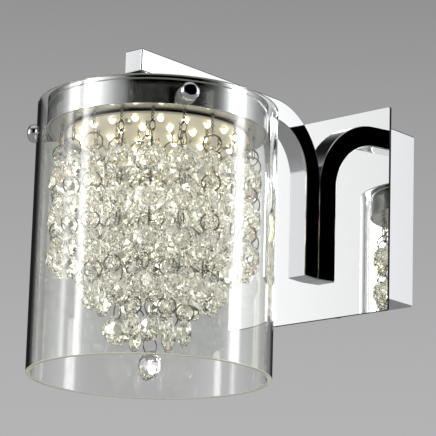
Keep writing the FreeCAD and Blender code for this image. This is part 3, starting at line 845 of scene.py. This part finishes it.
bpy.ops.mesh.primitive_torus_add(major_radius=ring_radius, minor_radius=wire_radius, major_segments=22,
                                 minor_segments=4, location=(0, 0, -ring_radius), rotation=(0, pi / 2, 0))
ring = bpy.context.object
apply_place(ring)
smooth(ring, 120)
dress(ring, shade_darkened_wire)
hung = copy_of(crystal, Matrix.Translation((0, 0, -ring_drop - hole_spacing / 2)))
link = join([hung, ring], "link_pattern")
bpy.data.objects.remove(crystal)
print(f"links repeat every {link_pitch / MM:.2f} mm, with {len(link.data.polygons)} faces each")

# %% [markdown]
# ## The strands
#
# Twenty short strands hang round the outside, then twelve and six longer ones, and one in the
# middle. Nobody lines them up by hand, so each hangs turned by another angle: the golden angle
# spreads those turns evenly, with no two neighbours alike. Each strand is a piece by itself,
# because each swings from its own hook.

# %% Hang the strands
strand_groups = (
    # name, crystals, count, first azimuth, swing of the turns in degrees
    ("outer", 3, 20, 9.0, 50.0),
    ("middle", 4, 12, 9.0, 75.0),
    ("inner", 5, 6, 15.0, 80.0),
    ("centre", 6, 1, 0.0, 0.0),
)
golden_turn = radians(137.5)
face_on = 2
pivots = {j["child"]: Vector(j["pos_m"]) for j in frame["joints"] if j["child"].startswith("strand_")}
ring_top_over_pivot = 0.45 * MM


def strand_places():
    """Every strand's node, its group, its crystals, the top of its first ring, and its turn."""
    for group, crystals, count, first, swing in strand_groups:
        digits = len(str(count))
        for i in range(count):
            node = f"strand_{group}" if count == 1 else f"strand_{group}_{i + 1:0{digits}d}"
            top = pivots[node] + Vector((0, 0, ring_top_over_pivot))
            azimuth = radians(first + 360.0 * i / count) + pan_turn
            yaw = azimuth - radians(swing) * sin(golden_turn * (i - face_on))
            yield node, group, crystals, top, yaw


for node, group, crystals, top, yaw in strand_places():
    links = []
    for i in range(crystals):
        link_place = Matrix.Translation(top + Vector((0, 0, -i * link_pitch)))
        links.append(copy_of(link, link_place @ Matrix.Rotation(yaw, 4, "Z")))
    strand = join(links, node.replace("strand", "hung_strand"))
    settle(strand, node, "crystal", node)
bpy.data.objects.remove(link)
print("strands hung:", len(pivots))

# %% [markdown]
# ## The hooks
#
# A hook is one wire, doubled into a long eye and twisted back on itself up to the plate. A Screw
# modifier winds each leg of the twist from a small section, and the second leg stands opposite
# the first, so that they cross again and again. The eye is a torus, stretched to an oval.

# %% Model one hook
eye_half_width = 1.3 * MM
eye_half_height = 2.5 * MM
hook_wire = 0.30 * MM
twist_radius = 0.62 * MM
twist_pitch = 3.4 * MM
steps_per_turn = 14
cap_radius, cap_height = 1.2 * MM, 0.8 * MM


def twisted_leg(length, start_angle):
    """One leg of the twist, from the origin up."""
    bpy.ops.mesh.primitive_circle_add(vertices=6, radius=hook_wire, location=(twist_radius, 0, 0),
                                      rotation=(pi / 2, 0, 0))
    leg = bpy.context.object
    apply_place(leg)
    wind = leg.modifiers.new("wound", "SCREW")
    wind.axis = "Z"
    wind.angle = 2 * pi * length / twist_pitch
    wind.screw_offset = length
    wind.steps = wind.render_steps = int(steps_per_turn * length / twist_pitch)
    bpy.ops.object.modifier_apply(modifier=wind.name)
    open_piece(leg)
    bpy.ops.mesh.select_all(action="SELECT")
    bpy.ops.mesh.normals_make_consistent(inside=False)
    close_piece()
    leg.data.transform(Matrix.Rotation(start_angle, 4, "Z"))
    return leg


def hook(top):
    """Long eye with its foot at the origin, twist above it and a head that rests on the plate."""
    bpy.ops.mesh.primitive_torus_add(major_radius=eye_half_width, minor_radius=hook_wire, major_segments=20,
                                     minor_segments=6, rotation=(pi / 2, 0, 0))
    eye = bpy.context.object
    eye.scale.y = eye_half_height / eye_half_width
    apply_place(eye)
    eye.data.transform(Matrix.Translation((0, 0, eye_half_height)))
    twist_start = 2 * eye_half_height - hook_wire
    legs = [twisted_leg(top - twist_start - cap_height / 2, start) for start in (0, pi)]
    for leg in legs:
        leg.data.transform(Matrix.Translation((0, 0, twist_start)))
    bpy.ops.mesh.primitive_cylinder_add(vertices=12, radius=cap_radius, depth=cap_height,
                                        location=(0, 0, top - cap_height / 2))
    cap = bpy.context.object
    apply_place(cap)
    return join([eye] + legs + [cap], "hook_pattern")


print(f"the hooks' wire is {2 * hook_wire / MM:.1f} mm thick")

# %% [markdown]
# The strands of a group hang at one height, so one pattern serves the group, and each hook is a
# copy of it, turned as its strand is. No hook ever moves, so all of them become one piece.

# %% Hang the hooks
eye_over_ring_top = 0.4 * MM
head_top = hanger_high.z + cap_height

patterns = {}
hooks = []
for node, group, crystals, top, yaw in strand_places():
    eye_foot = top + Vector((0, 0, eye_over_ring_top - eye_half_width))
    if group not in patterns:
        patterns[group] = hook(head_top - eye_foot.z)
    hooks.append(copy_of(patterns[group], Matrix.Translation(eye_foot) @ Matrix.Rotation(yaw, 4, "Z")))
for pattern in patterns.values():
    bpy.data.objects.remove(pattern)
all_hooks = join(hooks, "twisted_hooks")
smooth(all_hooks, 60)
dress(all_hooks, shade_darkened_wire)
settle(all_hooks, "fixture", "ring_wire", "strand_hooks")

# %% [markdown]
# ## The LED chips
#
# A chip is a white frame with a sunk window, and a drop of phosphor resin stands on the window.
# Only the drop is a real light; the frame's glow is painted. Seen from far below, as here, a flat
# window would be a thin dash, and it is the drop that makes it a round dot of light.

# %% Model a chip
chip_length, chip_width, chip_height = 3.5 * MM, 2.8 * MM, 0.7 * MM
chip_rounding = 0.12 * MM
window_margin = 0.45 * MM
window_depth = 0.12 * MM
least_window_face = 4 * MM * MM
drop_radius = 1.55 * MM
drop_height = 1.9 * MM

chip = block("chip_pattern", Vector((-chip_width / 2, -chip_length / 2, -chip_height)),
             Vector((chip_width / 2, chip_length / 2, 0)))
bevel_edges(chip, chip_rounding, 2)
dress(chip, chip_frame)
open_piece(chip)
pick("faces", lambda face: facing(face, (0, 0, -1)) and face.calc_area() > least_window_face)
bpy.ops.mesh.inset(thickness=window_margin)
bpy.ops.mesh.extrude_region_move(TRANSFORM_OT_translate={"value": (0, 0, window_depth)})
close_piece()
bpy.ops.mesh.primitive_uv_sphere_add(segments=20, ring_count=8, radius=drop_radius,
                                     location=(0, 0, window_depth - chip_height))
drop = bpy.context.object
drop.scale.z = drop_height / drop_radius
apply_place(drop)
smooth(drop, 60)
dress(drop, lit_phosphor)
chip = join([chip, drop], "chip_pattern")
print("faces of a chip:", len(chip.data.polygons))

# %% [markdown]
# The chips are placed by machine in three rings round the middle, each turned to face it.

# %% Mount the chips
chip_rings = (
    # radius in millimetres, count, first azimuth in degrees
    (39.0, 20, 13.8),
    (23.5, 11, 29.8),
    (9.5, 5, 20.4),
)
chip_foot = size_of("led_chips")[1].z

chips = []
for radius, count, first in chip_rings:
    for i in range(count):
        angle = radians(first + 360.0 * i / count) + pan_turn
        spot = lamp_axis + outward(angle) * radius * MM + Vector((0, 0, chip_foot))
        chips.append(copy_of(chip, Matrix.Translation(spot) @ Matrix.Rotation(angle - pi / 2, 4, "Z")))
bpy.data.objects.remove(chip)
all_chips = join(chips, "mounted_chips")
settle(all_chips, "fixture", "lit_chip", "led_chips")

# %% [markdown]
# ## Floor, backdrop and light
#
# The lamp hangs well above a plain pale floor, which takes its shadow. From the camera alone the
# floor is lifted a little, because one small lamp leaves so wide a floor dark, and the lift throws
# no light on the object.

# %% Floor
floor_z = -0.62
floor_size = 14.0
floor_lift = 0.22

bpy.ops.mesh.primitive_plane_add(size=floor_size, location=(0, 0, floor_z))
floor = bpy.context.object
floor.name = "floor"
floor_paint, floor_shader = new_finish("pale_floor", (0.62, 0.62, 0.61), 0.7)
vary_roughness(floor_paint, floor_shader, object_noise(floor_paint, 3.0), 0.6, 0.8)
floor_nodes, floor_links = floor_paint.node_tree.nodes, floor_paint.node_tree.links
floor_rays = floor_nodes.new("ShaderNodeLightPath")
lift = floor_nodes.new("ShaderNodeMath")
lift.operation = "MULTIPLY"
lift.inputs[1].default_value = floor_lift
floor_links.new(floor_rays.outputs["Is Camera Ray"], lift.inputs[0])
floor_links.new(lift.outputs["Value"], floor_shader.inputs["Emission Strength"])
dress(floor, floor_paint)
print("the floor is", round(glass_low.z - floor_z, 2), "m below the glass")

# %% [markdown]
# The backdrop and the studio are the world itself, worked out by nodes from the direction in which
# a ray leaves. Two numbers describe that direction: its height, from 0 straight down to 1 straight
# up, and its turn about the upright axis. Three helpers keep the sums with them readable.

# %% World: helpers and directions
world = bpy.data.worlds.new("studio")
bpy.context.scene.world = world
world.use_nodes = True
sky = world.node_tree
sky.nodes.clear()


def calc(operation, *sources):
    """A math node fed by numbers and by other nodes."""
    made = sky.nodes.new("ShaderNodeMath")
    made.operation = operation
    for socket, source in zip(made.inputs, sources):
        if isinstance(source, (int, float)):
            socket.default_value = source
        else:
            sky.links.new(source, socket)
    return made.outputs["Value"]


def grey_ramp(source, stops):
    """A grey ramp through (position, value) stops."""
    ramp = sky.nodes.new("ShaderNodeValToRGB")
    points = ramp.color_ramp.elements
    for i, (position, value) in enumerate(stops):
        point = points[i] if i < 2 else points.new(position)
        point.position = position
        point.color = (value, value, value, 1.0)
    sky.links.new(source, ramp.inputs["Fac"])
    return ramp.outputs["Color"]


def blend(factor, first, second, blend_type="MIX"):
    """Two colours, mixed or multiplied, each a colour or what another node gives."""
    made = sky.nodes.new("ShaderNodeMix")
    made.data_type = "RGBA"
    made.blend_type = blend_type
    for socket, source in zip((made.inputs[0], made.inputs[6], made.inputs[7]), (factor, first, second)):
        if isinstance(source, (float, tuple)):
            socket.default_value = source
        else:
            sky.links.new(source, socket)
    return made.outputs[2]


direction = sky.nodes.new("ShaderNodeTexCoord").outputs["Generated"]
split = sky.nodes.new("ShaderNodeSeparateXYZ")
sky.links.new(direction, split.inputs["Vector"])
height = calc("MULTIPLY_ADD", split.outputs["Z"], 0.5, 0.5)
azimuth = calc("ARCTAN2", split.outputs["X"], calc("MULTIPLY", split.outputs["Y"], -1.0))
turn_share = calc("MULTIPLY_ADD", azimuth, 1 / (2 * pi), 0.5)
print("world nodes for the direction:", len(sky.nodes))

# %% [markdown]
# The camera sees a plain grey that darkens upwards, also straight through the glass. Chrome looks
# like chrome only when it has something dark and something bright to reflect, so a ray that has
# been mirrored sees a room instead: two tall softboxes, each with a brighter strip in it that draws
# an upright highlight on the glass, and darkness between them, where the camera stands. A low pale
# skirt on the wall's side and a dim ceiling keep the chrome that faces them from going black.

# %% World: backdrop and room
room_stops = (
    # azimuth in degrees from the front towards +X, brightness
    (-180, 0.16), (-166, 0.26), (-158, 0.03), (-110, 0.01), (-104, 0.12), (-83, 0.10), (-73, 0.20),
    (-64, 0.55), (-55, 1.0), (-47, 1.2), (-44.5, 0.95), (-42, 0.84), (-34.5, 0.80), (-33, 1.4),
    (-21, 1.4), (-15, 0.95), (-3, 0.45), (8, 0.20), (13, 0.04), (19, 0.0), (86, 0.0), (93, 0.03),
    (105, 0.13), (111, 0.33), (118, 0.90), (124, 1.4), (139, 1.2), (143, 0.92), (150, 0.60),
    (164, 0.32), (180, 0.16),
)
strip_stops = (
    (-53, 0.0), (-51, 0.4), (-47.5, 0.4), (-45.5, 0.0), (-34, 0.0), (-32.5, 1.0), (-28, 1.0),
    (-25, 0.0), (121, 0.0), (124, 1.0), (133, 1.0), (135.5, 0.0),
)
skirt_stops = (
    (-180, 1.0), (-112, 1.0), (-95, 0.1), (-60, 0.05), (0, 0.0), (90, 0.0), (135, 0.2), (165, 1.0),
)
# height from 0 below to 1 above, brightness
backdrop_heights = ((0.0, 0.60), (0.58, 0.46), (0.598, 0.44), (0.6215, 0.392), (0.645, 0.342),
                    (0.665, 0.29), (1.0, 0.25))
box_heights = ((0.30, 0.03), (0.40, 0.10), (0.46, 0.5), (0.50, 1.0), (0.66, 1.0), (0.72, 0.7),
               (0.80, 0.25), (0.90, 0.05))
skirt_heights = ((0.28, 0.05), (0.33, 0.08), (0.38, 0.32), (0.46, 0.38), (0.51, 0.0))
ceiling_heights = ((0.88, 0.0), (0.95, 0.45), (1.0, 0.5))
strip_strength = 7.0


def around(stops):
    """A ramp over azimuth."""
    return grey_ramp(turn_share, [(degrees / 360.0 + 0.5, value) for degrees, value in stops])


backdrop = grey_ramp(height, backdrop_heights)
tall = grey_ramp(height, box_heights)
panels = calc("MULTIPLY", around(room_stops), tall)
strips = calc("MULTIPLY", calc("MULTIPLY", around(strip_stops), tall), strip_strength)
skirt = calc("MULTIPLY", around(skirt_stops), grey_ramp(height, skirt_heights))
room = calc("ADD", calc("ADD", panels, strips), calc("ADD", skirt, grey_ramp(height, ceiling_heights)))
print("stops of the room:", len(room_stops))

# %% [markdown]
# A crystal gathers light from everywhere in the room at once, and that is what its facets show:
# mostly warm pale tones, a few dark ones, and here and there a spark. A mottled surrounding stands
# for this. Only rays that have come through at least one crystal, which is more walls than the
# glass cylinder alone has, see it.

# %% World: what the crystals gather
gathered_stops = ((0.36, 0.03), (0.42, 0.36), (0.49, 0.92), (0.56, 1.40), (0.64, 1.7))
spark_start, spark_strength = 0.66, 3.0
warm_tint = (1.0, 0.98, 0.85, 1.0)
walls_of_glass = 4.5

mottle = sky.nodes.new("ShaderNodeTexNoise")
mottle.inputs["Scale"].default_value = 2.6
mottle.inputs["Detail"].default_value = 2.0
sky.links.new(direction, mottle.inputs["Vector"])
gathered = grey_ramp(mottle.outputs["Fac"], gathered_stops)
sparks = calc("MULTIPLY", calc("GREATER_THAN", mottle.outputs["Fac"], spark_start), spark_strength)
sparkle = blend(1.0, calc("ADD", gathered, sparks), warm_tint, "MULTIPLY")

rays = sky.nodes.new("ShaderNodeLightPath")
unmirrored = calc("LESS_THAN", rays.outputs["Glossy Depth"], 0.5)
through = calc("MULTIPLY", rays.outputs["Is Transmission Ray"], unmirrored)
straight = calc("MAXIMUM", rays.outputs["Is Camera Ray"], through)
by_crystal = calc("GREATER_THAN", rays.outputs["Transmission Depth"], walls_of_glass)
shade = sky.nodes.new("ShaderNodeBackground")
sky.links.new(blend(by_crystal, blend(straight, room, backdrop), sparkle), shade.inputs["Color"])
sky.links.new(shade.outputs["Background"], sky.nodes.new("ShaderNodeOutputWorld").inputs["Surface"])
print("world nodes:", len(sky.nodes))

# %% [markdown]
# Part of the light of the chips comes back up from the crystals and lights the board, the lip round
# it and the hooks from below. A soft warm disc inside the glass, facing up, stands for it. Neither
# the camera nor the glass sees the disc itself.

# %% Light thrown back up by the crystals
bounce_radius = 50 * MM
bounce_height = -30 * MM
bounce_brightness = 0.9

bounce_data = bpy.data.lights.new("bounce", "AREA")
bounce_data.shape = "DISK"
bounce_data.size = 2 * bounce_radius
bounce_data.energy = bounce_brightness * pi * pi * bounce_radius ** 2
bounce_data.color = (1.0, 0.95, 0.84)
bounce = bpy.data.objects.new("bounce", bounce_data)
bounce.location = (0, lamp_axis.y, bounce_height)
bounce.rotation_euler = (pi, 0, 0)
bounce.visible_camera = False
bounce.visible_transmission = False
bpy.context.scene.collection.objects.link(bounce)
print(f"bounce light {bounce_data.energy:.3f} W")

# %% [markdown]
# ## The camera
#
# The camera stands below the lamp and to its right, with a long lens. Its place and turn come from
# matching the photograph's outlines, and the three unit vectors below say how it is turned.

# %% Camera
camera_place = Vector((829.15, -1055.68, -335.89)) * MM
camera_right = Vector((0.75779, 0.65188, 0.02835))
camera_up = Vector((0.14039, -0.20532, 0.96857))
camera_forward = Vector((-0.63722, 0.72999, 0.24711))
focal_pixels = 2560.25
frame_pixels = 436

lens = bpy.data.cameras.new("camera")
lens.sensor_fit = "HORIZONTAL"
lens.angle = 2 * atan(frame_pixels / 2 / focal_pixels)
lens.clip_end = 50.0
camera = bpy.data.objects.new("camera", lens)
camera_turn = Matrix((camera_right, camera_up, -camera_forward)).transposed().to_4x4()
camera.matrix_world = Matrix.Translation(camera_place) @ camera_turn
bpy.context.scene.collection.objects.link(camera)
bpy.context.scene.camera = camera
print(f"lens {lens.lens:.0f} mm")

# %% [markdown]
# ## How far the light is followed
#
# A ray through this lamp crosses the wall of the glass, crystal after crystal, and the wall again.
# With few bounces such a ray ends black, so the limits are raised. A clamp on indirect light keeps
# the few very bright paths from leaving specks.

# %% Light paths and view settings
scene = bpy.context.scene
scene.view_settings.view_transform = "Standard"
scene.cycles.max_bounces = 20
scene.cycles.transmission_bounces = 18
scene.cycles.glossy_bounces = 8
scene.cycles.sample_clamp_indirect = 6.0
print("a ray may pass", scene.cycles.transmission_bounces, "surfaces of glass")
